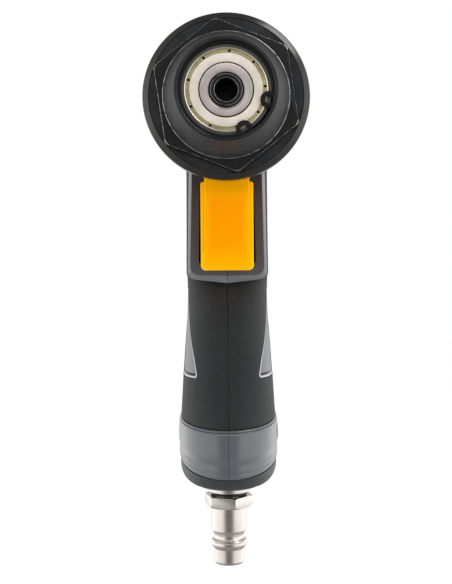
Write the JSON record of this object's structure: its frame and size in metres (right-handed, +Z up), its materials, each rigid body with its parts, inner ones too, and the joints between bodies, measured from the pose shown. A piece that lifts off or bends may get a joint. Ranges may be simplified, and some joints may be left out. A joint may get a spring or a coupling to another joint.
{
  "type": "air drill body",
  "caption": "Pistol-grip compressed-air drill body with a hexagon nose, a shielded front bearing, a push trigger, a two-part grip and an air plug under the handle.",
  "frame": {"origin": "centre of the floor of the round socket in the spindle's front end, on the spindle axis", "axes": "+Y back along the spindle axis to the motor, +Z up, handle down; the spindle faces -Y"},
  "size_m": [0.048, 0.1013, 0.1691],
  "materials": {
    "black_steel": "satin",
    "bright_steel": "satin",
    "zinc_shield": "satin",
    "clip_steel": "satin",
    "aluminium": "cast",
    "grey_plastic": "satin",
    "soft_rubber": "matte",
    "black_plastic": "satin",
    "orange_plastic": "semi-gloss",
    "brass": "turned",
    "nickel": "nickel plated",
    "seal_rubber": "matte",
    "cage_nylon": "matte",
    "vane_fibre": "matte",
    "felt": "felt",
    "gasket_paper": "matte"
  },
  "bodies": {
    "housing": {"air_plug": "nickel", "base_cap": "black_plastic", "base_cap_screw_1": "bright_steel", "base_cap_screw_2": "bright_steel", "body_casting": "aluminium", "cylinder_liner": "bright_steel", "exhaust_muffler": "felt", "front_bearing_front_shield": "zinc_shield", "front_bearing_outer_ring": "bright_steel", "front_bearing_rear_shield": "zinc_shield", "front_circlip": "clip_steel", "front_housing": "black_steel", "grip_cover_left": "soft_rubber", "grip_cover_right": "soft_rubber", "grip_shell_left": "grey_plastic", "grip_shell_right": "grey_plastic", "inlet_bushing": "nickel", "inlet_filter_screen": "bright_steel", "motor_front_plate": "aluminium", "motor_gasket": "gasket_paper", "motor_rear_plate": "aluminium", "plug_sealing_ring": "seal_rubber", "ring_gear": "bright_steel", "rotor_front_bearing_outer_ring": "bright_steel", "rotor_rear_bearing_outer_ring": "bright_steel", "shell_screw_1": "bright_steel", "shell_screw_2": "bright_steel", "shell_screw_3": "bright_steel", "shell_screw_4": "bright_steel", "stem_o_ring": "seal_rubber", "valve_bushing": "brass", "valve_spring": "bright_steel"},
    "rotor": {"rotor": "bright_steel", "rotor_vane_1": "vane_fibre", "rotor_vane_2": "vane_fibre", "rotor_vane_3": "vane_fibre", "rotor_vane_4": "vane_fibre", "rotor_front_bearing_inner_ring": "bright_steel", "rotor_rear_bearing_inner_ring": "bright_steel"},
    "spindle": {"spindle": "black_steel", "planet_pin_1": "bright_steel", "planet_pin_2": "bright_steel", "planet_pin_3": "bright_steel", "front_bearing_inner_ring": "bright_steel"},
    "planet_1": {"planet_gear_1": "bright_steel"},
    "planet_2": {"planet_gear_2": "bright_steel"},
    "planet_3": {"planet_gear_3": "bright_steel"},
    "front_balls": {"front_bearing_ball_1": "bright_steel", "front_bearing_ball_2": "bright_steel", "front_bearing_ball_3": "bright_steel", "front_bearing_ball_4": "bright_steel", "front_bearing_ball_5": "bright_steel", "front_bearing_ball_6": "bright_steel", "front_bearing_ball_7": "bright_steel", "front_bearing_cage": "cage_nylon"},
    "rotor_front_balls": {"rotor_front_bearing_ball_cage": "bright_steel"},
    "rotor_rear_balls": {"rotor_rear_bearing_ball_cage": "bright_steel"},
    "trigger": {"trigger": "orange_plastic", "valve_stem": "brass", "valve_washer": "seal_rubber"}
  },
  "joints": [
    {"name": "rotor_spin", "type": "hinge", "parent": "housing", "child": "rotor", "pos_m": [0, 0.046, 0], "axis": [0, 1, 0], "continuous": true},
    {"name": "spindle_spin", "type": "hinge", "parent": "housing", "child": "spindle", "pos_m": [0, 0, 0], "axis": [0, 1, 0], "continuous": true},
    {"name": "planet_1_spin", "type": "hinge", "parent": "spindle", "child": "planet_1", "pos_m": [0, 0.0078, 0.0084], "axis": [0, 1, 0], "continuous": true},
    {"name": "planet_2_spin", "type": "hinge", "parent": "spindle", "child": "planet_2", "pos_m": [-0.00728, 0.0078, -0.0042], "axis": [0, 1, 0], "continuous": true},
    {"name": "planet_3_spin", "type": "hinge", "parent": "spindle", "child": "planet_3", "pos_m": [0.00728, 0.0078, -0.0042], "axis": [0, 1, 0], "continuous": true},
    {"name": "front_balls_spin", "type": "hinge", "parent": "housing", "child": "front_balls", "pos_m": [0, -0.0073, 0], "axis": [0, 1, 0], "continuous": true},
    {"name": "rotor_front_balls_spin", "type": "hinge", "parent": "housing", "child": "rotor_front_balls", "pos_m": [0, 0.0215, 0], "axis": [0, 1, 0], "continuous": true},
    {"name": "rotor_rear_balls_spin", "type": "hinge", "parent": "housing", "child": "rotor_rear_balls", "pos_m": [0, 0.0706, 0], "axis": [0, 1, 0], "continuous": true},
    {"name": "trigger_press", "type": "slide", "parent": "housing", "child": "trigger", "axis": [0, 1, 0], "range_m": [0, 0.0045], "stiffness_N_per_m": 1500, "springref_m": -0.003, "deforming": ["valve_spring"]}
  ],
  "couplings": [
    {"joint": "spindle_spin", "follows": "rotor_spin", "ratio": 0.25},
    {"joint": "planet_1_spin", "follows": "rotor_spin", "ratio": -0.75},
    {"joint": "planet_2_spin", "follows": "rotor_spin", "ratio": -0.75},
    {"joint": "planet_3_spin", "follows": "rotor_spin", "ratio": -0.75},
    {"joint": "front_balls_spin", "follows": "rotor_spin", "ratio": 0.0919},
    {"joint": "rotor_front_balls_spin", "follows": "rotor_spin", "ratio": 0.3905},
    {"joint": "rotor_rear_balls_spin", "follows": "rotor_spin", "ratio": 0.3905}
  ]
}
